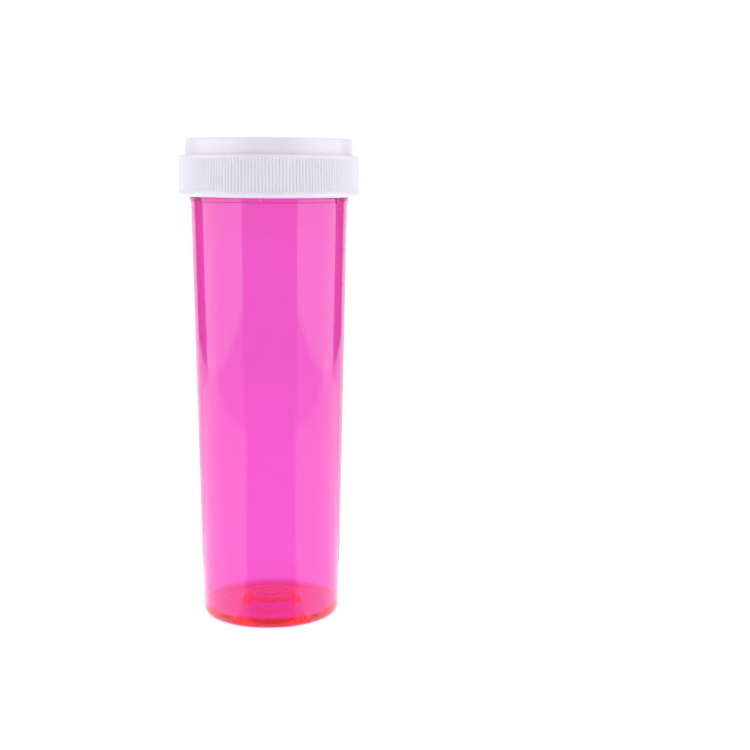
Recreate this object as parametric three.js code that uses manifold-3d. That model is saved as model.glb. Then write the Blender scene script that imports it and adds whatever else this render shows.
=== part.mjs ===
// Prescription vial with a reversible push-down-and-turn cap.
// Units are millimetres, +Z is up, the origin is the centre of the foot on the table.
// The cap is fully home, turned to where its lugs stand in the gaps between the vial's lugs.
import * as THREE from 'three';
import { mergeVertices } from 'three/addons/utils/BufferGeometryUtils.js';
import Module from 'manifold-3d';

const wasm = await Module();
wasm.setup();

// ---- driving dimensions ----
const FACETS = 64;                  // sides of every turned surface
const CORNER_STEPS = 4;             // facets in a quarter-round corner

// vial wall and base
const FOOT_RADIUS = 21.8;           // outer wall carried down to the table
const DRAFT = 0.0185;               // growth of the radius per millimetre of height
const WALL = 1.1;
const FOOT_CORNER = 2.4;            // outside rounding at the foot
const FLOOR_TOP = 2.6;
const FLOOR_FILLET = 0.9;
const FOOT_RECESS = 0.8;            // height of the underside over the foot ring
const FOOT_RING_INNER = 17.4;
const RECESS_EDGE = 16.6;
const BOSS_BASE_RADIUS = 10.0;      // raised boss in the middle of the floor
const BOSS_TOP_RADIUS = 7.6;
const BOSS_TOP = 5.0;
const DIMPLE_BASE_RADIUS = 8.2;     // hollow under the boss
const DIMPLE_TOP_RADIUS = 6.2;
const DIMPLE_TOP = 3.3;
const GATE_RADIUS = 0.9;            // moulding gate left in the dimple
const GATE_BOTTOM = 2.8;

// flange and neck
const FLANGE_RADIUS = 24.6;
const FLANGE_TAPER_BOTTOM = 130.8;
const FLANGE_BOTTOM = 131.5;
const FLANGE_TOP = 132.4;
const NECK_RADIUS = 24.0;
const NECK_INNER = 22.9;
const NECK_INNER_BOTTOM = 133.5;    // where the tapered inner wall meets the neck's bore
const MOUTH = 141.0;
const MOUTH_ROUND = 0.45;

// bayonet, six times round; angles are anticlockwise from the front (-Y), seen from above
const LUGS = 6;
const LUG_ARC = 36;                 // from the stop rib to the open gap
const TRACK_ARC = 18;               // far half of the lug, the tooth that the cap passes under
const LUG_RADIUS = 25.6;
const LUG_TOP = 138.2;
const NOTCH_ROOF = 135.9;
const TRACK_ROOF = 135.0;
const RIB_WIDTH = 1.2;
const RIB_RADIUS = 25.0;
const RIB_BOTTOM = 131.2;

// cap
const PANEL_TOP = 150.4;
const PANEL_UNDERSIDE = 148.9;
const PLUG_RADIUS = 21.6;
const PLUG_INNER = 20.2;
const COLLAR_TOP = 150.2;
const COLLAR_RADIUS = 25.8;
const COLLAR_INNER = 24.3;
const WEB_TOP = 145.1;
const WEB_UNDERSIDE = 143.4;
const SHOULDER = 145.2;
const SHOULDER_ROUND = 0.5;
const SKIRT_TOP_RADIUS = 27.7;
const SKIRT_FOOT_RADIUS = 27.95;
const GRIP_BOTTOM = 134.1;
const LIP_RADIUS = 28.1;
const LIP = 133.5;
const RIM = 132.6;
const RIM_OUTER = 26.7;
const SKIRT_INNER = 26.1;
const CAP_LUG_ARC = 14;
const CAP_LUG_CENTRE = 47.5;        // middle of the gap between two of the vial's lugs
const CAP_LUG_RADIUS = 24.5;
const CAP_LUG_BOTTOM = 133.0;
const CAP_LUG_TOP = 134.6;
const NUB_ARC = 6;                  // nubs that hold the seal disc up under the web
const NUB_RADIUS = 25.1;
const NUB_BOTTOM = 141.1;
const NUB_TOP = 141.8;

// right-hand threads: on the plug and in the neck, for the cap turned over
const THREAD_PITCH = 2.6;
const THREAD_TURNS = 1.25;
const THREAD_BASE = 1.3;            // width of the ridge at its wall
const THREAD_CREST = 0.5;
const THREAD_BURIED = 0.3;          // how far the ridge starts inside its wall
const PLUG_THREAD_RADIUS = 22.45;
const PLUG_THREAD_BOTTOM = 146.0;
const NECK_THREAD_RADIUS = 22.15;
const NECK_THREAD_BOTTOM = 135.4;

// seal disc
const DISC_RADIUS = 25.7;
const DISC_TOP = 143.1;
const DISC_UNDERSIDE = 142.1;
const BEAD_INNER = 22.8;            // ring that presses on the mouth
const BEAD_OUTER = 24.1;
const BEAD_BOTTOM = 141.3;
const FOLD_OUTER = 17.5;            // fold that lets the disc flex
const FOLD_INNER = 14.5;
const FOLD_DEPTH = 0.9;

const radians = (degrees) => (degrees * Math.PI) / 180;

// ---- solids ----

// The library's solid of a closed geometry.
function solidOf(geometry) {
  geometry.deleteAttribute('normal');
  geometry.deleteAttribute('uv');
  const merged = mergeVertices(geometry, 1e-4);
  return new wasm.Manifold(new wasm.Mesh({
    numProp: 3,
    vertProperties: new Float32Array(merged.attributes.position.array),
    triVerts: new Uint32Array(merged.index.array),
  }));
}

// A three.js geometry of a solid.
function geometryOf(solid) {
  const mesh = solid.getMesh();
  const geometry = new THREE.BufferGeometry();
  geometry.setAttribute('position', new THREE.BufferAttribute(mesh.vertProperties, 3));
  geometry.setIndex(new THREE.BufferAttribute(mesh.triVerts, 1));
  return geometry;
}

// A solid turned about Z from a profile of [radius, height] points. The profile runs so that the
// solid is on its right-hand side going up, from the axis to the axis.
function turned(profile) {
  const points = profile.map(([radius, height]) => new THREE.Vector2(radius, height));
  return solidOf(new THREE.LatheGeometry(points, FACETS).rotateX(Math.PI / 2));
}

// Points of a quarter-round corner about a centre, from one angle to another in degrees.
function corner(centreRadius, centreHeight, round, from, to) {
  const points = [];
  for (let step = 0; step <= CORNER_STEPS; step += 1) {
    const angle = radians(from + ((to - from) * step) / CORNER_STEPS);
    points.push([centreRadius + round * Math.cos(angle), centreHeight + round * Math.sin(angle)]);
  }
  return points;
}

// A piece of a ring: angles are anticlockwise from the front, seen from above.
function ringPiece(inner, outer, from, to, bottom, top) {
  const front = -Math.PI / 2;
  const start = front + radians(from);
  const end = front + radians(to);
  const outline = new THREE.Shape();
  outline.absarc(0, 0, outer, start, end, false);
  outline.absarc(0, 0, inner, end, start, true);
  const geometry = new THREE.ExtrudeGeometry(outline, {
    depth: top - bottom,
    bevelEnabled: false,
    curveSegments: 6,
  });
  return solidOf(geometry.translate(0, 0, bottom));
}

// A right-hand thread ridge on a wall; it stands outwards if the crest is outside the wall.
function thread(wallRadius, crestRadius, bottom) {
  const outward = Math.sign(crestRadius - wallRadius);
  const root = wallRadius - outward * THREAD_BURIED;
  const steps = Math.round(THREAD_TURNS * 40);
  const fade = steps / 8;
  const section = [[root, -THREAD_BASE / 2], [crestRadius, -THREAD_CREST / 2],
    [crestRadius, THREAD_CREST / 2], [root, THREAD_BASE / 2]];
  const positions = [];
  for (let step = 0; step <= steps; step += 1) {
    const angle = (step / steps) * THREAD_TURNS * 2 * Math.PI;
    const rise = bottom + (step / steps) * THREAD_TURNS * THREAD_PITCH;
    const height = Math.min(1, (step + 1) / fade, (steps - step + 1) / fade);
    for (const [radius, offset] of section) {
      const faded = root + (radius - root) * height;
      positions.push(faded * Math.cos(angle), faded * Math.sin(angle), rise + offset);
    }
  }
  const index = [];
  const face = (a, b, c) => index.push(...(outward > 0 ? [a, b, c] : [a, c, b]));
  const last = steps * 4;
  face(0, 1, 2);
  face(0, 2, 3);
  face(last, last + 2, last + 1);
  face(last, last + 3, last + 2);
  for (let step = 0; step < steps; step += 1) {
    for (let side = 0; side < 4; side += 1) {
      const here = step * 4 + side;
      const next = step * 4 + ((side + 1) % 4);
      face(here, here + 4, next + 4);
      face(here, next + 4, next);
    }
  }
  const geometry = new THREE.BufferGeometry();
  geometry.setAttribute('position', new THREE.Float32BufferAttribute(positions, 3));
  geometry.setIndex(index);
  return solidOf(geometry);
}

// ---- sub-parts ----

// Vial: tapered cup with a foot ring, a flange, six bayonet lugs and a thread inside its neck.
function vialBody() {
  const outerAt = (height) => FOOT_RADIUS + DRAFT * height;
  const innerAt = (height) => outerAt(height) - WALL;
  const footCentre = outerAt(FOOT_CORNER) - FOOT_CORNER;
  const filletTop = FLOOR_TOP + FLOOR_FILLET;
  const mouthMiddle = (NECK_RADIUS + NECK_INNER) / 2;
  let body = turned([
    [0, GATE_BOTTOM],
    [GATE_RADIUS, GATE_BOTTOM],
    [GATE_RADIUS, DIMPLE_TOP],
    [DIMPLE_TOP_RADIUS, DIMPLE_TOP],
    [DIMPLE_BASE_RADIUS, FOOT_RECESS],
    [RECESS_EDGE, FOOT_RECESS],
    [FOOT_RING_INNER, 0],
    ...corner(footCentre, FOOT_CORNER, FOOT_CORNER, -90, 0),
    [outerAt(FLANGE_TAPER_BOTTOM), FLANGE_TAPER_BOTTOM],
    [FLANGE_RADIUS, FLANGE_BOTTOM],
    [FLANGE_RADIUS, FLANGE_TOP],
    [NECK_RADIUS, FLANGE_TOP],
    [NECK_RADIUS, MOUTH - MOUTH_ROUND],
    [mouthMiddle + 0.1, MOUTH],
    [mouthMiddle - 0.1, MOUTH],
    [NECK_INNER, MOUTH - MOUTH_ROUND],
    [NECK_INNER, NECK_INNER_BOTTOM],
    [innerAt(FLANGE_TAPER_BOTTOM), FLANGE_TAPER_BOTTOM],
    ...corner(innerAt(filletTop) - FLOOR_FILLET, filletTop, FLOOR_FILLET, 0, -90),
    [BOSS_BASE_RADIUS, FLOOR_TOP],
    [BOSS_TOP_RADIUS, BOSS_TOP],
    [0, BOSS_TOP],
  ]);
  const buried = (NECK_RADIUS + NECK_INNER) / 2;
  const ribHalfArc = (RIB_WIDTH / 2 / RIB_RADIUS) * (180 / Math.PI);
  for (let lug = 0; lug < LUGS; lug += 1) {
    const stop = (lug * 360) / LUGS;
    const track = stop + LUG_ARC - TRACK_ARC;
    const lugEnd = stop + LUG_ARC;
    const roof = ringPiece(buried, LUG_RADIUS, stop - ribHalfArc, lugEnd, NOTCH_ROOF, LUG_TOP);
    const tooth = ringPiece(buried, LUG_RADIUS, track, lugEnd, TRACK_ROOF, LUG_TOP);
    const rib = ringPiece(buried, RIB_RADIUS, stop - ribHalfArc, stop + ribHalfArc, RIB_BOTTOM, LUG_TOP);
    body = body.add(roof).add(tooth).add(rib);
  }
  return geometryOf(body.add(thread(NECK_INNER, NECK_THREAD_RADIUS, NECK_THREAD_BOTTOM)));
}

// Cap: skirt, web, collar and hollow threaded plug in one moulding, open underneath.
function capShell() {
  const shoulderEdge = SKIRT_TOP_RADIUS - SHOULDER_ROUND;
  let cap = turned([
    [0, PANEL_UNDERSIDE],
    [PLUG_INNER, PANEL_UNDERSIDE],
    [PLUG_INNER, WEB_UNDERSIDE],
    [SKIRT_INNER, WEB_UNDERSIDE],
    [SKIRT_INNER, RIM],
    [RIM_OUTER, RIM],
    [LIP_RADIUS, LIP - 0.15],
    [LIP_RADIUS, LIP + 0.15],
    [SKIRT_FOOT_RADIUS, GRIP_BOTTOM],
    ...corner(shoulderEdge, SHOULDER - SHOULDER_ROUND, SHOULDER_ROUND, 0, 90),
    [COLLAR_RADIUS, SHOULDER],
    ...corner(COLLAR_RADIUS - 0.4, COLLAR_TOP - 0.4, 0.4, 0, 90),
    [COLLAR_INNER + 0.2, COLLAR_TOP],
    [COLLAR_INNER, COLLAR_TOP - 0.2],
    [COLLAR_INNER, WEB_TOP],
    [PLUG_RADIUS, WEB_TOP],
    [PLUG_RADIUS, PANEL_TOP - 0.4],
    [PLUG_RADIUS - 0.4, PANEL_TOP],
    [0, PANEL_TOP],
  ]);
  for (let lug = 0; lug < LUGS; lug += 1) {
    const middle = CAP_LUG_CENTRE + (lug * 360) / LUGS;
    const buried = (SKIRT_INNER + RIM_OUTER) / 2;
    const half = CAP_LUG_ARC / 2;
    const nubHalf = NUB_ARC / 2;
    cap = cap.add(ringPiece(CAP_LUG_RADIUS, buried, middle - half, middle + half,
      CAP_LUG_BOTTOM, CAP_LUG_TOP));
    cap = cap.add(ringPiece(NUB_RADIUS, buried, middle - nubHalf, middle + nubHalf,
      NUB_BOTTOM, NUB_TOP));
  }
  return geometryOf(cap.add(thread(PLUG_RADIUS, PLUG_THREAD_RADIUS, PLUG_THREAD_BOTTOM)));
}

// Seal disc: thin flexible disc with a sealing bead and one fold that lets it flex.
function sealDisc() {
  const foldMiddle = (FOLD_OUTER + FOLD_INNER) / 2;
  return geometryOf(turned([
    [0, DISC_UNDERSIDE],
    [FOLD_INNER, DISC_UNDERSIDE],
    [foldMiddle, DISC_UNDERSIDE - FOLD_DEPTH],
    [FOLD_OUTER, DISC_UNDERSIDE],
    [BEAD_INNER, DISC_UNDERSIDE],
    [BEAD_INNER, BEAD_BOTTOM],
    [BEAD_OUTER, BEAD_BOTTOM],
    [BEAD_OUTER, DISC_UNDERSIDE],
    [DISC_RADIUS, DISC_UNDERSIDE],
    [DISC_RADIUS, DISC_TOP],
    [FOLD_OUTER, DISC_TOP],
    [foldMiddle, DISC_TOP - FOLD_DEPTH],
    [FOLD_INNER, DISC_TOP],
    [0, DISC_TOP],
  ]));
}

// ---- assembly ----

function part(name, geometry, colour, roughness) {
  const material = new THREE.MeshStandardMaterial({ color: colour, roughness, metalness: 0 });
  const mesh = new THREE.Mesh(geometry, material);
  mesh.name = name;
  return mesh;
}

const vial = new THREE.Group();
vial.add(part('vial_body', vialBody(), 0xf06ac4, 0.15));
vial.add(part('cap_shell', capShell(), 0xf1eefb, 0.4));
vial.add(part('seal_disc', sealDisc(), 0xf4f4f0, 0.45));

export default vial;
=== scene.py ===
import math

import bpy
from mathutils import Matrix, Vector


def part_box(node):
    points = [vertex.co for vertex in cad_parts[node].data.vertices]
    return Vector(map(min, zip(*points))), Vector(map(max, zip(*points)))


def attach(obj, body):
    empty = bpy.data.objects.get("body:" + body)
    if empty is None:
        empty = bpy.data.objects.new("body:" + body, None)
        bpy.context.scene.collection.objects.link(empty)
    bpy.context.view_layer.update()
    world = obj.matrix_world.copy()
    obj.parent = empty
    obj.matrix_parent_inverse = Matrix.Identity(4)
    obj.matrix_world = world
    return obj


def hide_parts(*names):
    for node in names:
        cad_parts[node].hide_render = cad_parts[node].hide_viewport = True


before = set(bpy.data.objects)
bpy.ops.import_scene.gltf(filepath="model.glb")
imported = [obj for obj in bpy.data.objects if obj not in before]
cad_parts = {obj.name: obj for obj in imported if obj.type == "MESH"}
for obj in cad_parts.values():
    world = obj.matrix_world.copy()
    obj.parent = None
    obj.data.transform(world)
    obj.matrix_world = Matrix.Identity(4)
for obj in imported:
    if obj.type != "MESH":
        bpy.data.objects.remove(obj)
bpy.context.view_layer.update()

# Prescription vial with its reversible cap on. Lengths are in millimetres until a mesh is made;
# angles round the axis are in degrees, anticlockwise from the front (-Y), seen from above.
MM = 0.001
vial_low, vial_high = (Vector(corner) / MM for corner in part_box("vial_body"))
cap_low, cap_high = (Vector(corner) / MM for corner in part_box("cap_shell"))
seal_low, seal_high = (Vector(corner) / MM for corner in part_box("seal_disc"))

# ---- vial ----
VIAL_SIDES = 480
FOOT_RADIUS = 21.8
DRAFT = 0.0185              # growth of the radius per millimetre of height
WALL = 1.1
FOOT_CORNER = 2.4
FLOOR_TOP = 3.0
FLOOR_FILLET = 1.1
FOOT_RECESS = 0.1
FOOT_RING_INNER = 17.6
RECESS_EDGE = 15.0
BOSS_BASE_RADIUS = 10.0
BOSS_TOP_RADIUS = 7.6
BOSS_TOP = 5.5
DIMPLE_BASE_RADIUS = 8.2
DIMPLE_TOP_RADIUS = 6.2
DIMPLE_TOP = 3.3
GATE_RADIUS = 0.9
GATE_BOTTOM = 2.8
FLANGE_RADIUS = 24.6
FLANGE_TAPER_BOTTOM = 131.12
FLANGE_BOTTOM = 131.2
FLANGE_TOP = 132.4
NECK_RADIUS = 24.0
NECK_INNER = 22.9
NECK_INNER_BOTTOM = 134.3
NECK_INNER_TAPER = 133.4
MOUTH = vial_high.z
LUGS = 6
PITCH = 360 / LUGS
LUG_ARC = 36
TRACK_START = 18            # where the tooth starts that the cap's lug passes under
LUG_RADIUS = vial_high.x
LUG_TOP = 138.2
NOTCH_ROOF = 135.9
TRACK_ROOF = 135.0
RIB_HALF_ARC = 1.4
RIB_RADIUS = 24.9
RIB_BOTTOM = 131.16
RIB_FOOT_SOFT = 0.05

# ---- cap ----
GRIP_RIBS = 172
SIDES_PER_RIB = 6
CAP_SIDES = GRIP_RIBS * SIDES_PER_RIB
GRIP_DEPTH = 0.46
GRIP_BOTTOM = 134.1
GRIP_TOP = 144.5
MARK = 15.7                 # a mould mark that fills one groove from here up
MARK_BOTTOM = 140.6
MARK_PROUD = 0.06
PANEL_TOP = cap_high.z
INK = 0.03                  # thickness of the print, laid on the panel
PANEL_UNDERSIDE = 148.9
PLUG_RADIUS = 21.6
PLUG_INNER = 20.2
COLLAR_TOP = 150.2
COLLAR_RADIUS = 25.8
COLLAR_INNER = 24.3
WEB_TOP = 145.1
WEB_UNDERSIDE = 143.4
SHOULDER = 145.2
SKIRT_TOP_RADIUS = 27.7
SKIRT_FOOT_RADIUS = 27.95
LIP_RADIUS = cap_high.x
LIP = 133.5
RIM = cap_low.z
RIM_OUTER = 26.7
SKIRT_INNER = 26.1
CAP_LUG_HALF_ARC = 7
CAP_LUG_CENTRE = 47.5
CAP_LUG_RADIUS = 24.5
CAP_LUG_BOTTOM = 133.0
CAP_LUG_TOP = 134.6
NUB_HALF_ARC = 3
NUB_RADIUS = 25.1
NUB_BOTTOM = 141.1
NUB_TOP = 141.8

# ---- threads ----
THREAD_PITCH = 2.6
THREAD_TURNS = 1.25
THREAD_START = 90           # the threads start at +X
THREAD_HALF_BASE = 0.65
THREAD_HALF_CREST = 0.2
PLUG_THREAD_RADIUS = 22.45
PLUG_THREAD_BOTTOM = 146.0
NECK_THREAD_RADIUS = 22.15
NECK_THREAD_BOTTOM = 135.4

# where the cap's mesh needs more rows, as step, low and high: lugs, nubs, top of the grip, thread
CAP_DETAIL = [
    (0.4, RIM + 0.1, CAP_LUG_TOP + 0.3),
    (0.35, NUB_BOTTOM - 0.7, NUB_TOP + 0.3),
    (0.3, GRIP_TOP - 0.7, GRIP_TOP + 0.4),
    (0.6, PLUG_THREAD_BOTTOM - 0.3, COLLAR_TOP),
]


# ---- shapes ----

def clamp(value, low=0.0, high=1.0):
    return max(low, min(high, value))


def smooth(value):
    value = clamp(value)
    return value * value * (3 - 2 * value)


def band(value, low, high, soft):
    """1 between low and high, falling to 0 over soft on both sides."""
    return smooth((value - low) / soft + 0.5) * smooth((high - value) / soft + 0.5)


def rounded(corners, arc_steps=5):
    """Points along a line of corners [radius, height, rounding]; each corner turns on a curve."""
    points = []
    for number, (x, y, rounding) in enumerate(corners):
        here = Vector((x, y))
        if not rounding:
            points.append(here)
            continue
        before = Vector(corners[number - 1][:2])
        after = Vector(corners[number + 1][:2])
        start = here + (before - here).normalized() * min(rounding, (before - here).length * 0.48)
        end = here + (after - here).normalized() * min(rounding, (after - here).length * 0.48)
        for step in range(arc_steps + 1):
            t = step / arc_steps
            points.append(start.lerp(here, t).lerp(here.lerp(end, t), t))
    return points


def finer(points, step, low, high):
    """The points, with more on the upright stretches between two heights."""
    out = [points[0]]
    for start, end in zip(points, points[1:]):
        rise = end.y - start.y
        if abs(rise) > abs(end.x - start.x):
            enter, leave = sorted(clamp((edge - start.y) / rise) for edge in (low, high))
            count = math.ceil((leave - enter) * (end - start).length / step)
            parts = range(count + 1) if count else ()
            stops = [enter + (leave - enter) * part / count for part in parts]
            out.extend(start.lerp(end, stop) for stop in stops if 0 < stop < 1)
        out.append(end)
    return out


def turned(name, profile, sides, relief=None):
    """A closed mesh turned about Z from a profile that starts and ends on the axis.
    relief(angle, radius, height, number) moves a point of the profile in or out at an angle."""
    verts, faces = [], []
    rows = len(profile)
    verts.append((0, 0, profile[0].y * MM))
    for number, point in enumerate(profile[1:-1], 1):
        for side in range(sides):
            turn = 360 * side / sides
            radius = relief(turn, point.x, point.y, number) if relief else point.x
            around = math.radians(turn - 90)
            verts.append((radius * math.cos(around) * MM, radius * math.sin(around) * MM,
                          point.y * MM))
    verts.append((0, 0, profile[-1].y * MM))
    last = len(verts) - 1

    def at(row, side):
        return 1 + (row - 1) * sides + side % sides

    for side in range(sides):
        faces.append((0, at(1, side + 1), at(1, side)))
        faces.append((last, at(rows - 2, side), at(rows - 2, side + 1)))
    for row in range(1, rows - 2):
        for side in range(sides):
            faces.append((at(row, side), at(row, side + 1),
                          at(row + 1, side + 1), at(row + 1, side)))
    mesh = bpy.data.meshes.new(name)
    mesh.from_pydata(verts, [], faces)
    mesh.shade_smooth()
    piece = bpy.data.objects.new(name, mesh)
    bpy.context.scene.collection.objects.link(piece)
    return piece


def thread_ridge(turn, height, bottom):
    """How far up its ridge a right-hand thread stands at an angle and height, from 0 to 1."""
    most = 0
    for lap in range(2):
        along = ((turn - THREAD_START) % 360) / 360 + lap
        if along > THREAD_TURNS:
            continue
        fade = smooth(min(along, THREAD_TURNS - along) / 0.12)
        off = abs(height - bottom - along * THREAD_PITCH)
        ridge = clamp((THREAD_HALF_BASE - off) / (THREAD_HALF_BASE - THREAD_HALF_CREST))
        most = max(most, smooth(ridge) * fade)
    return most


# ---- vial ----

def vial_profile():
    def outer_at(height):
        return FOOT_RADIUS + DRAFT * height

    def inner_at(height):
        return outer_at(height) - WALL

    return rounded([
        (0, GATE_BOTTOM, 0),
        (GATE_RADIUS, GATE_BOTTOM, 0.25),
        (GATE_RADIUS + 0.1, DIMPLE_TOP, 0.15),
        (DIMPLE_TOP_RADIUS, DIMPLE_TOP, 1.1),
        (DIMPLE_BASE_RADIUS, FOOT_RECESS, 1.0),
        (RECESS_EDGE, FOOT_RECESS, 1.6),
        (FOOT_RING_INNER, 0, 1.2),
        (outer_at(0), 0, FOOT_CORNER),
        (outer_at(FLANGE_TAPER_BOTTOM), FLANGE_TAPER_BOTTOM, 0.06),
        (FLANGE_RADIUS, FLANGE_BOTTOM, 0.06),
        (FLANGE_RADIUS, FLANGE_TOP, 0.15),
        (NECK_RADIUS, FLANGE_TOP, 0.15),
        (NECK_RADIUS, MOUTH, 0.5),
        (NECK_INNER, MOUTH, 0.5),
        (NECK_INNER, NECK_INNER_BOTTOM, 0.3),
        (inner_at(NECK_INNER_TAPER), NECK_INNER_TAPER, 0.3),
        (inner_at(FLOOR_TOP), FLOOR_TOP, FLOOR_FILLET),
        (BOSS_BASE_RADIUS, FLOOR_TOP, 1.0),
        (BOSS_TOP_RADIUS, BOSS_TOP, 0.7),
        (0, BOSS_TOP, 0),
    ])


def bayonet(turn, radius, height):
    """Outside of the neck and flange: six lugs, each with a notch, a tooth and a stop rib."""
    local = (turn + RIB_HALF_ARC + 1) % PITCH - RIB_HALF_ARC - 1
    roof_arc = band(local, -RIB_HALF_ARC, LUG_ARC, 0.9)
    roof = roof_arc * band(height, NOTCH_ROOF, LUG_TOP, 0.35)
    tooth = band(local, TRACK_START, LUG_ARC, 0.9) * band(height, TRACK_ROOF, LUG_TOP, 0.35)
    rib = band(local, -RIB_HALF_ARC, RIB_HALF_ARC, 1.1) * smooth((LUG_TOP - height) / 0.35 + 0.5)
    rib *= smooth((height - RIB_BOTTOM) / RIB_FOOT_SOFT + 0.5)
    lug_out = max(roof, tooth) * (LUG_RADIUS - radius)
    rib_out = rib * (RIB_RADIUS - radius)
    return radius + max(0, lug_out, rib_out)


def vial_moulding():
    profile = finer(vial_profile(), 0.2, RIB_BOTTOM - 0.5, LUG_TOP + 2.6)
    mouth_row = max(range(len(profile)), key=lambda row: profile[row].y)

    def relief(turn, radius, height, number):
        if height < RIB_BOTTOM - 1:
            return radius
        if number <= mouth_row:
            return bayonet(turn, radius, height)
        ridge = thread_ridge(turn, height, NECK_THREAD_BOTTOM)
        return radius - ridge * max(0, radius - NECK_THREAD_RADIUS)

    piece = turned("vial_moulding", profile, VIAL_SIDES, relief)
    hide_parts("vial_body")
    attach(piece, "vial")
    return piece


# ---- cap ----

def cap_profile():
    panel = PANEL_TOP - INK
    return rounded([
        (0, PANEL_UNDERSIDE, 0),
        (PLUG_INNER, PANEL_UNDERSIDE, 0.8),
        (PLUG_INNER, WEB_UNDERSIDE, 0.3),
        (SKIRT_INNER, WEB_UNDERSIDE, 0.4),
        (SKIRT_INNER, RIM, 0.3),
        (RIM_OUTER, RIM, 0.3),
        (LIP_RADIUS, LIP - 0.1, 0.25),
        (LIP_RADIUS, LIP + 0.2, 0.15),
        (SKIRT_FOOT_RADIUS, GRIP_BOTTOM - 0.1, 0.2),
        (SKIRT_TOP_RADIUS, SHOULDER, 0.6),
        (COLLAR_RADIUS + 0.02, SHOULDER, 0.25),
        (COLLAR_RADIUS, COLLAR_TOP, 0.55),
        (COLLAR_INNER + 0.05, COLLAR_TOP, 0.3),
        (COLLAR_INNER, WEB_TOP, 0.5),
        (PLUG_RADIUS, WEB_TOP, 0.5),
        (PLUG_RADIUS, panel, 0.45),
        (0, panel, 0),
    ], 2)


def grip(turn, radius, height):
    """Outside of the skirt: ribs with a groove between each two, and the mould mark."""
    across = abs((turn * GRIP_RIBS / 360) % 1 - 0.5) * 2
    ends = smooth((height - GRIP_BOTTOM) / 0.5) * smooth((GRIP_TOP - height) / 0.5)
    mark = band(turn, MARK - 1, MARK + 1, 0.8) * band(height, MARK_BOTTOM, GRIP_TOP, 0.6)
    return radius - GRIP_DEPTH * ends * across ** 2 * (1 - mark) + MARK_PROUD * mark


def inner_lugs(turn, radius, height):
    """Inside of the skirt: six lugs for the bayonet and six nubs that hold the seal disc."""
    local = (turn - CAP_LUG_CENTRE + PITCH / 2) % PITCH - PITCH / 2
    lug = band(local, -CAP_LUG_HALF_ARC, CAP_LUG_HALF_ARC, 0.9)
    lug *= band(height, CAP_LUG_BOTTOM, CAP_LUG_TOP, 0.3)
    nub = band(local, -NUB_HALF_ARC, NUB_HALF_ARC, 1.5) * band(height, NUB_BOTTOM, NUB_TOP, 0.4)
    return radius - max(lug * (radius - CAP_LUG_RADIUS), nub * (radius - NUB_RADIUS))


def cap_moulding():
    profile = cap_profile()
    for step, low, high in CAP_DETAIL:
        profile = finer(profile, step, low, high)
    lowest = min(range(len(profile)), key=lambda row: profile[row].y)

    def relief(turn, radius, height, number):
        outside = number > lowest + 3
        if outside and radius > COLLAR_RADIUS + 0.5:
            return grip(turn, radius, height)
        if outside and abs(radius - PLUG_RADIUS) < 0.05:
            ridge = thread_ridge(turn, height, PLUG_THREAD_BOTTOM)
            return radius + ridge * (PLUG_THREAD_RADIUS - radius)
        if not outside and abs(radius - SKIRT_INNER) < 0.05:
            return inner_lugs(turn, radius, height)
        return radius

    piece = turned("cap_moulding", profile, CAP_SIDES, relief)
    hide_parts("cap_shell")
    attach(piece, "cap")
    return piece


# ---- print on the cap ----

INK_SINK = 0.01             # the print starts this far inside the panel
ARROW_RADIUS = 17.0
ARROW_HALF_WIDTH = 0.75
HEAD_HALF_WIDTH = 1.9
HEAD_ARC = 9
ARROW_START = 12            # degrees from the front
ARROW_END = 108
LOCK_TURN = 128
LOCK_RADIUS = 16.6


def round_the_axis(radius, turn, centre=(0, 0)):
    around = math.radians(turn - 90)
    return (centre[0] + radius * math.cos(around), centre[1] + radius * math.sin(around))


def arc_band(inner, outer, start, end, centre=(0, 0), steps=40):
    turns = [start + (end - start) * step / steps for step in range(steps + 1)]
    outside = [round_the_axis(outer, turn, centre) for turn in turns]
    inside = [round_the_axis(inner, turn, centre) for turn in reversed(turns)]
    return outside + inside


def arc_arrow(radius, half, head, start, end, head_arc):
    """A curved arrow from start to end; it points the way its angles run."""
    way = 1 if end > start else -1
    neck = end - way * head_arc
    point = [round_the_axis(radius - head, neck), round_the_axis(radius + head, neck),
             round_the_axis(radius, end)]
    return [arc_band(radius - half, radius + half, start, neck), point]


def box_outline(x, y, half_width, half_height):
    return [(x - half_width, y - half_height), (x + half_width, y - half_height),
            (x + half_width, y + half_height), (x - half_width, y + half_height)]


def padlock(turn, opened):
    x, y = round_the_axis(LOCK_RADIUS, turn)
    hinge = (x + 1.9 if opened else x, y + 1.0)
    return [box_outline(x, y - 0.4, 1.7, 1.3), arc_band(0.75, 1.25, 90, 270, hinge, 16),
            box_outline(hinge[0] - 1.0, y + 0.93, 0.25, 0.14)]


def press_down():
    """An arrow pressing down on a bar, over a small arrow that turns."""
    return [box_outline(0, 7.0, 1.5, 2.6), [(-4.0, 4.4), (0, 0.6), (4.0, 4.4)],
            box_outline(0, -0.9, 6.2, 0.7), *arc_arrow(6.6, 0.6, 1.6, -58, 58, 20)]


def ink():
    nodes = Nodes("blue_ink")
    shader = nodes.shader
    nodes.join(nodes.ramp(nodes.noise(1500, 3.0), (0.020, 0.235, 0.57), (0.045, 0.30, 0.66)),
               shader.inputs["Base Color"])
    nodes.join(nodes.spread(nodes.noise(900), 0.42, 0.55), shader.inputs["Roughness"])
    nodes.join(nodes.bump(nodes.noise(4000, 2.0), 0.15, 0.00002), shader.inputs["Normal"])
    return nodes.material


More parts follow.
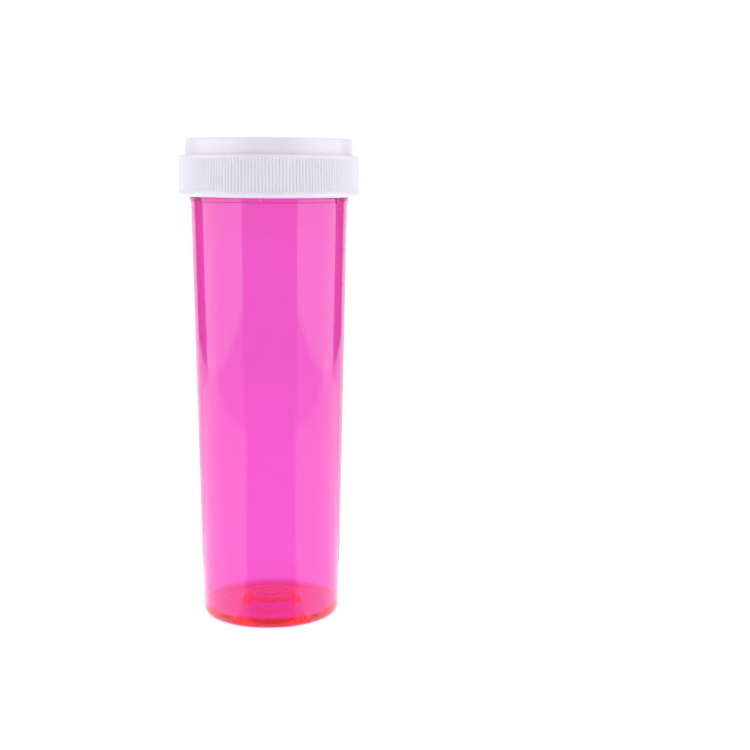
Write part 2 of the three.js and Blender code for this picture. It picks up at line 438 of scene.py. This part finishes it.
def cap_print():
    """Plain signs in place of wording: press down, open this way, close this way."""
    outlines = press_down()
    for way in (1, -1):
        outlines += arc_arrow(ARROW_RADIUS, ARROW_HALF_WIDTH, HEAD_HALF_WIDTH,
                              way * ARROW_START, way * ARROW_END, HEAD_ARC)
    outlines += padlock(LOCK_TURN, True) + padlock(-LOCK_TURN, False)
    low, high = PANEL_TOP - INK - INK_SINK, PANEL_TOP
    verts, faces = [], []
    for outline in outlines:
        pairs = zip(outline, outline[1:] + outline[:1])
        if sum(x0 * y1 - x1 * y0 for (x0, y0), (x1, y1) in pairs) < 0:
            outline = outline[::-1]
        start, count = len(verts), len(outline)
        verts.extend((x * MM, y * MM, z * MM) for z in (low, high) for x, y in outline)
        faces.append(tuple(range(start + count, start + 2 * count)))
        faces.append(tuple(reversed(range(start, start + count))))
        for side in range(count):
            after = (side + 1) % count
            faces.append((start + side, start + after, start + count + after, start + count + side))
    mesh = bpy.data.meshes.new("cap_print")
    mesh.from_pydata(verts, [], faces)
    mesh.materials.append(ink())
    piece = bpy.data.objects.new("cap_print", mesh)
    bpy.context.scene.collection.objects.link(piece)
    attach(piece, "cap")
    return piece


# ---- seal disc ----

SEAL_SIDES = 192
SEAL_THICK = 1.0
SEAL_FOLD = 16.0            # radius of the fold that lets the disc spring
SEAL_FOLD_HALF = 1.5
SEAL_FOLD_DIP = 0.9         # how far the fold goes down from the disc's top
SEAL_BEAD = 23.45           # radius of the ring that presses on the vial's mouth
SEAL_BEAD_BOTTOM = 141.3


def seal_moulding():
    top = seal_high.z
    under = top - SEAL_THICK
    profile = rounded([
        (0, under, 0),
        (SEAL_FOLD - SEAL_FOLD_HALF, under, 0.8),
        (SEAL_FOLD, seal_low.z, 0.8),
        (SEAL_FOLD + SEAL_FOLD_HALF, under, 0.8),
        (SEAL_BEAD - 0.65, under, 0.3),
        (SEAL_BEAD - 0.5, SEAL_BEAD_BOTTOM, 0.4),
        (SEAL_BEAD + 0.5, SEAL_BEAD_BOTTOM, 0.4),
        (SEAL_BEAD + 0.65, under, 0.3),
        (seal_high.x, under, 0.35),
        (seal_high.x, top, 0.35),
        (SEAL_FOLD + SEAL_FOLD_HALF, top, 0.8),
        (SEAL_FOLD, top - SEAL_FOLD_DIP, 0.8),
        (SEAL_FOLD - SEAL_FOLD_HALF, top, 0.8),
        (0, top, 0),
    ])
    piece = turned("seal_moulding", profile, SEAL_SIDES)
    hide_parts("seal_disc")
    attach(piece, "seal")
    return piece


# ---- materials ----

PLASTIC_IOR = 1.49
TINT = (0.995, 0.0, 0.65)           # a channel dims at TINT_DENSITY * (1 - its value) per metre
TINT_DENSITY = 800
SKIN_TINT = (0.950, 0.68, 0.96)
CAP_WHITES = ((0.895, 0.837, 0.845), (0.92, 0.862, 0.87))
CAP_ROUGHNESS = 0.36
SEAL_WHITES = ((0.80, 0.80, 0.77), (0.84, 0.84, 0.81))
SEAL_ROUGHNESS = 0.42
PAINTED_PINK_LIGHT = (1.0, 0.01, 1.0)        # painted pink light on the paper under the vial, in place of light through the plastic
PAPER_GLOW = (0.95, 1.04, 1.18)
PAINTED_PINK_EDGE = (0.0190, 0.0218)        # metres from the axis, where the painted pink light gives way to the paper's glow
PAINTED_POOL_FALL = (0.05, 0.60)            # metres from the axis, over which the glow falls from its near to its far strength: a painted pool of light round the vial


class Nodes:
    """Short names for adding and joining nodes of one material."""

    def __init__(self, name):
        self.material = bpy.data.materials.new(name)
        self.material.use_nodes = True
        self.tree = self.material.node_tree
        self.shader = self.tree.nodes["Principled BSDF"]
        self.output = self.tree.nodes["Material Output"]

    def add(self, kind, **values):
        node = self.tree.nodes.new(kind)
        for key, value in values.items():
            if key in node.inputs:
                node.inputs[key].default_value = value
            else:
                setattr(node, key, value)
        return node

    def join(self, source, target):
        self.tree.links.new(source, target)

    def noise(self, scale, detail=4.0, roughness=0.55):
        place = self.add("ShaderNodeTexCoord")
        texture = self.add("ShaderNodeTexNoise")
        texture.inputs["Scale"].default_value = scale
        texture.inputs["Detail"].default_value = detail
        texture.inputs["Roughness"].default_value = roughness
        self.join(place.outputs["Object"], texture.inputs["Vector"])
        return texture.outputs["Fac"]

    def ramp(self, value, low, high, start=0.3, end=0.7):
        node = self.add("ShaderNodeValToRGB")
        stops = node.color_ramp.elements
        stops[0].position, stops[0].color = start, (*low, 1)
        stops[1].position, stops[1].color = end, (*high, 1)
        self.join(value, node.inputs["Fac"])
        return node.outputs["Color"]

    def spread(self, value, low, high):
        node = self.add("ShaderNodeMapRange")
        node.inputs["To Min"].default_value = low
        node.inputs["To Max"].default_value = high
        self.join(value, node.inputs["Value"])
        return node.outputs["Result"]

    def bump(self, height, strength, distance, under=None):
        node = self.add("ShaderNodeBump")
        node.inputs["Strength"].default_value = strength
        node.inputs["Distance"].default_value = distance
        self.join(height, node.inputs["Height"])
        if under:
            self.join(under, node.inputs["Normal"])
        return node.outputs["Normal"]


def tinted_plastic():
    """Clear pink polypropylene: the tint is in its depth, with a slight milkiness at its skin."""
    nodes = Nodes("pink_polypropylene")
    shader = nodes.shader
    shader.inputs["Base Color"].default_value = (*SKIN_TINT, 1)
    shader.inputs["Roughness"].default_value = 0.07
    shader.inputs["IOR"].default_value = PLASTIC_IOR
    shader.inputs["Transmission Weight"].default_value = 0.975
    waves = nodes.bump(nodes.noise(55, 2.0), 0.12, 0.0006)
    nodes.join(nodes.bump(nodes.noise(900, 3.0), 0.05, 0.00005, waves), shader.inputs["Normal"])
    depth = nodes.add("ShaderNodeVolumeAbsorption")
    depth.inputs["Color"].default_value = (*TINT, 1)
    depth.inputs["Density"].default_value = TINT_DENSITY
    nodes.join(depth.outputs["Volume"], nodes.output.inputs["Volume"])
    return nodes.material


def white_plastic(name, low, high, roughness):
    """Opaque white moulded plastic: faint flow shading, fine skin, light under its surface."""
    nodes = Nodes(name)
    shader = nodes.shader
    nodes.join(nodes.ramp(nodes.noise(60, 3.0), low, high), shader.inputs["Base Color"])
    nodes.join(nodes.spread(nodes.noise(400), roughness - 0.05, roughness + 0.07),
               shader.inputs["Roughness"])
    shader.inputs["IOR"].default_value = PLASTIC_IOR
    shader.inputs["Subsurface Weight"].default_value = 0.15
    shader.inputs["Subsurface Radius"].default_value = (1.0, 0.9, 1.0)
    shader.inputs["Subsurface Scale"].default_value = 0.0015
    skin = nodes.bump(nodes.noise(2600, 2.0), 0.10, 0.00004)
    nodes.join(nodes.bump(nodes.noise(140, 2.0), 0.04, 0.0002, skin), shader.inputs["Normal"])
    return nodes.material


def floor_paper_painted_light():
    """White paper that glows, with a painted pool of light: it glows most near the vial. Under the
    vial it glows pink, painted light in place of the light that has come through the plastic."""
    nodes = Nodes("floor_paper_painted_light")
    shader = nodes.shader
    place = nodes.add("ShaderNodeTexCoord")
    away = nodes.add("ShaderNodeVectorMath", operation="LENGTH")
    nodes.join(place.outputs["Object"], away.inputs[0])
    painted_pink_fade = nodes.add("ShaderNodeMapRange")
    painted_pink_fade.inputs["From Min"].default_value, painted_pink_fade.inputs["From Max"].default_value = PAINTED_PINK_EDGE
    nodes.join(away.outputs["Value"], painted_pink_fade.inputs["Value"])
    # painted pink light under the vial, fading out to the paper's own glow
    nodes.join(nodes.ramp(painted_pink_fade.outputs["Result"], PAINTED_PINK_LIGHT, PAPER_GLOW, 0, 1),
               shader.inputs["Emission Color"])
    # painted pool of light: the glow is stronger near the vial and weaker far off
    painted_pool_fade = nodes.add("ShaderNodeMapRange")
    painted_pool_fade.inputs["From Min"].default_value, painted_pool_fade.inputs["From Max"].default_value = PAINTED_POOL_FALL
    painted_pool_fade.inputs["To Min"].default_value = FLOOR_GLOW_PAINTED_POOL
    painted_pool_fade.inputs["To Max"].default_value = FLOOR_GLOW_FAR
    nodes.join(away.outputs["Value"], painted_pool_fade.inputs["Value"])
    nodes.join(painted_pool_fade.outputs["Result"], shader.inputs["Emission Strength"])
    nodes.join(nodes.ramp(nodes.noise(30), (0.22, 0.22, 0.22), (0.24, 0.24, 0.24)),
               shader.inputs["Base Color"])
    shader.inputs["Roughness"].default_value = 0.6
    shader.inputs["Specular IOR Level"].default_value = 0.1
    nodes.join(nodes.bump(nodes.noise(700), 0.05, 0.0002), shader.inputs["Normal"])
    return nodes.material


def dark_card(name, shade):
    """Unlit card with a faint cloudiness."""
    nodes = Nodes(name)
    low, high = (shade, shade, shade), (shade * 1.2, shade * 1.2, shade * 1.3)
    nodes.join(nodes.ramp(nodes.noise(8), low, high), nodes.shader.inputs["Base Color"])
    nodes.shader.inputs["Roughness"].default_value = 0.9
    nodes.shader.inputs["Specular IOR Level"].default_value = 0.0
    return nodes.material


# ---- studio ----

WORLD_STRENGTH = 1.03
# the floor glows more near the vial than far off: a painted pool of light
FLOOR_GLOW_PAINTED_POOL = 0.97
FLOOR_GLOW_FAR = 0.80
STUDIO_TURN = 4.4            # the lights stand square to the line from the camera to the vial
FLOOR_HALF = 2.5
FLOOR_FRONT = -0.0235        # the white sweep's front edge, as reflections see it
SIDE_AWAY = 0.42             # the softboxes and dark flags stand this far to each side
SOFTBOX_FRONT = -0.50
SOFTBOX_BACK = 0.17
FLAG_BACK = 0.50
SIDE_HEIGHT = 0.95
SOFTBOX_RADIANCE = 1.22
SOFTBOX_CORE_RADIANCE = 0.30
SOFTBOX_CORE_SHIFT = 0.08
SOFTBOX_CORE_INSET = 0.18
FLOOR_LIGHT_RADIANCE = 0.62
FLOOR_LIGHT_EDGE = 36        # degrees from the camera's direction to the lit floor's near edge
FLOOR_LIGHT_WIDTH = 0.40
FLOOR_LIGHT_LENGTH = 0.26
FLOOR_LIGHT_AWAY = 0.12
CARD_HALF_WIDTH = 0.78       # the unlit room behind the camera
CARD_PLACE = -0.9
CARD_LOW = -1
CARD_HIGH = 1.2
CARD_SHADE = 0.36
FLAG_SHADE = 0.08
CAMERA_PLACE = (33.2, -431.2, 140.96)    # millimetres
CAMERA_DOWN = 8.487          # degrees under level
CAMERA_ROLL = 0.344
CAMERA_LENS = 65.96
CAMERA_SENSOR = 36


def studio_place(x, y, z):
    """A place in the room, whose forward axis is the camera's line to the vial."""
    return Matrix.Rotation(math.radians(STUDIO_TURN), 3, "Z") @ Vector((x, y, z))


def rectangle(name, corners, material):
    mesh = bpy.data.meshes.new(name)
    mesh.from_pydata([studio_place(*corner) for corner in corners], [], [(0, 1, 2, 3)])
    mesh.materials.append(material)
    thing = bpy.data.objects.new(name, mesh)
    bpy.context.scene.collection.objects.link(thing)
    return thing


def floor():
    paper = floor_paper_painted_light()
    w, front, back = FLOOR_HALF, FLOOR_FRONT, FLOOR_HALF
    rectangle("floor", [(-w, front, 0), (w, front, 0), (w, back, 0), (-w, back, 0)], paper)
    near = rectangle("floor_front", [(-w, -back, 0), (w, -back, 0), (w, front, 0), (-w, front, 0)],
                     paper)
    near.visible_glossy = False


def camera_side():
    """The unlit room behind the camera, which only reflections and soft light see."""
    w, y = CARD_HALF_WIDTH, CARD_PLACE
    corners = [(-w, y, CARD_LOW), (w, y, CARD_LOW), (w, y, CARD_HIGH), (-w, y, CARD_HIGH)]
    card = rectangle("room_card", corners, dark_card("room_dark", CARD_SHADE))
    card.visible_camera = False
    card.visible_transmission = False
    card.visible_shadow = False


def side_flag(name, side):
    """A dark flag between a softbox and the white background, seen in reflections only."""
    x = side * SIDE_AWAY
    flag = rectangle(name, [(x, SOFTBOX_BACK, 0), (x, FLAG_BACK, 0), (x, FLAG_BACK, SIDE_HEIGHT),
                            (x, SOFTBOX_BACK, SIDE_HEIGHT)], dark_card(name, FLAG_SHADE))
    flag.visible_camera = False
    flag.visible_diffuse = False
    flag.visible_transmission = False
    flag.visible_shadow = False


def panel_light(name, centre, facing, width, height, radiance, spin=0):
    """A flat light that reflections see as an even white panel and that lights nothing else."""
    light = bpy.data.lights.new(name, "AREA")
    light.shape = "RECTANGLE"
    light.size = width
    light.size_y = height
    light.energy = radiance * math.pi * width * height
    lamp = bpy.data.objects.new(name, light)
    turn = Matrix.Rotation(math.radians(STUDIO_TURN), 4, "Z")
    aim = Vector(facing).to_track_quat("-Z", "Y").to_matrix().to_4x4()
    spun = Matrix.Rotation(math.radians(spin), 4, "Z")
    lamp.matrix_world = turn @ Matrix.Translation(Vector(centre)) @ spun @ aim
    lamp.visible_camera = False
    lamp.visible_diffuse = False
    lamp.visible_transmission = False
    bpy.context.scene.collection.objects.link(lamp)


def side_lights(word, side):
    """A softbox that is brighter in the middle of its width, and the floor it lights."""
    length = SOFTBOX_BACK - SOFTBOX_FRONT
    middle = (SOFTBOX_FRONT + SOFTBOX_BACK) / 2
    centre = (side * SIDE_AWAY, middle, SIDE_HEIGHT / 2)
    panel_light(f"softbox_{word}", centre, (-side, 0, 0), length, SIDE_HEIGHT, SOFTBOX_RADIANCE)
    core = (side * SIDE_AWAY, middle + SOFTBOX_CORE_SHIFT, SIDE_HEIGHT / 2)
    panel_light(f"softbox_core_{word}", core, (-side, 0, 0), length - SOFTBOX_CORE_INSET,
                SIDE_HEIGHT, SOFTBOX_CORE_RADIANCE)
    edge = math.radians(FLOOR_LIGHT_EDGE)
    along, across = FLOOR_LIGHT_AWAY, FLOOR_LIGHT_WIDTH / 2
    lit = (side * (math.sin(edge) * along + math.cos(edge) * across),
           math.sin(edge) * across - math.cos(edge) * along, 0.0005)
    panel_light(f"floor_light_{word}", lit, (0, 0, 1), FLOOR_LIGHT_WIDTH, FLOOR_LIGHT_LENGTH,
                FLOOR_LIGHT_RADIANCE, side * FLOOR_LIGHT_EDGE)
    side_flag(f"flag_{word}", side)


def white_world(strength):
    world = bpy.data.worlds.new("white_room")
    world.use_nodes = True
    background = world.node_tree.nodes["Background"]
    background.inputs["Color"].default_value = (1.0, 0.99, 1.11, 1)
    background.inputs["Strength"].default_value = strength
    bpy.context.scene.world = world


def camera():
    """Level with the cap, a little to the right, looking slightly down."""
    data = bpy.data.cameras.new("camera")
    data.lens = CAMERA_LENS
    data.sensor_width = CAMERA_SENSOR
    thing = bpy.data.objects.new("camera", data)
    bpy.context.scene.collection.objects.link(thing)
    place = Matrix.Translation(Vector(CAMERA_PLACE) * MM)
    tilt = Matrix.Rotation(math.radians(90 - CAMERA_DOWN), 4, "X")
    roll = Matrix.Rotation(math.radians(CAMERA_ROLL), 4, "Z")
    thing.matrix_world = place @ tilt @ roll
    bpy.context.scene.camera = thing


vial = vial_moulding()
vial.data.materials.append(tinted_plastic())
cap = cap_moulding()
cap.data.materials.append(white_plastic("white_polypropylene", *CAP_WHITES, CAP_ROUGHNESS))
cap_print()
seal = seal_moulding()
seal.data.materials.append(white_plastic("white_polyethylene", *SEAL_WHITES, SEAL_ROUGHNESS))

floor()
camera_side()
for word, side in (("left", -1), ("right", 1)):
    side_lights(word, side)
white_world(WORLD_STRENGTH)
camera()
scene = bpy.context.scene
scene.view_settings.view_transform = "Standard"
scene.cycles.max_bounces = 24             # light runs far inside the clear wall
scene.cycles.glossy_bounces = 24
scene.cycles.transmission_bounces = 24
scene.cycles.diffuse_bounces = 8
